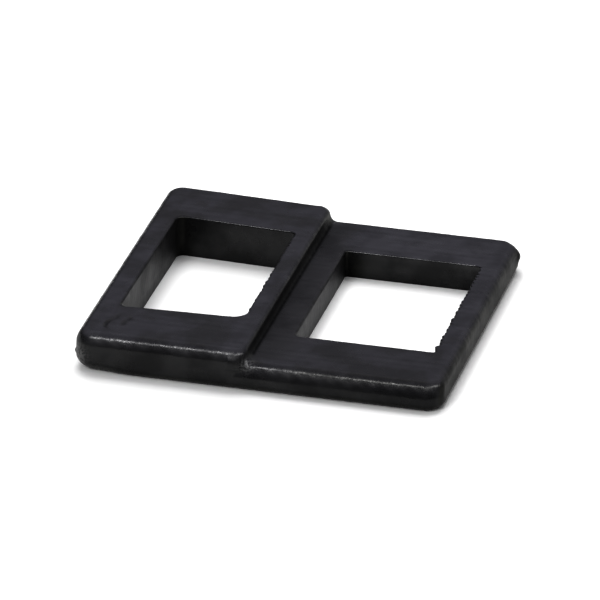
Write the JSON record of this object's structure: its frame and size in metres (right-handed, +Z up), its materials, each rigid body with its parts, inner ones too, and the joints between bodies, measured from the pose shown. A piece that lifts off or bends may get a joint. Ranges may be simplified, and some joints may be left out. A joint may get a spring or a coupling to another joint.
{
  "type": "webbing slider",
  "caption": "Stepped webbing slider: a raised loop and a lower loop side by side share a stepped centre bar, each with a webbing window.",
  "frame": {"origin": "centre of the flat underside, on the surface that the slider rests on", "axes": "+X from the raised loop to the low loop, +Y from the front rail to the back rail along the webbing windows' length, +Z up out of the stepped top"},
  "size_m": [0.0466, 0.0436, 0.0055],
  "materials": {
    "black_plastic": "satin moulded black, slightly glossier on rounded edges"
  },
  "bodies": {
    "root": {"raised_front_rail": "black_plastic", "raised_back_rail": "black_plastic", "raised_end_bar": "black_plastic", "centre_bar": "black_plastic", "low_end_bar": "black_plastic", "low_front_rail": "black_plastic", "low_back_rail": "black_plastic"}
  },
  "joints": []
}
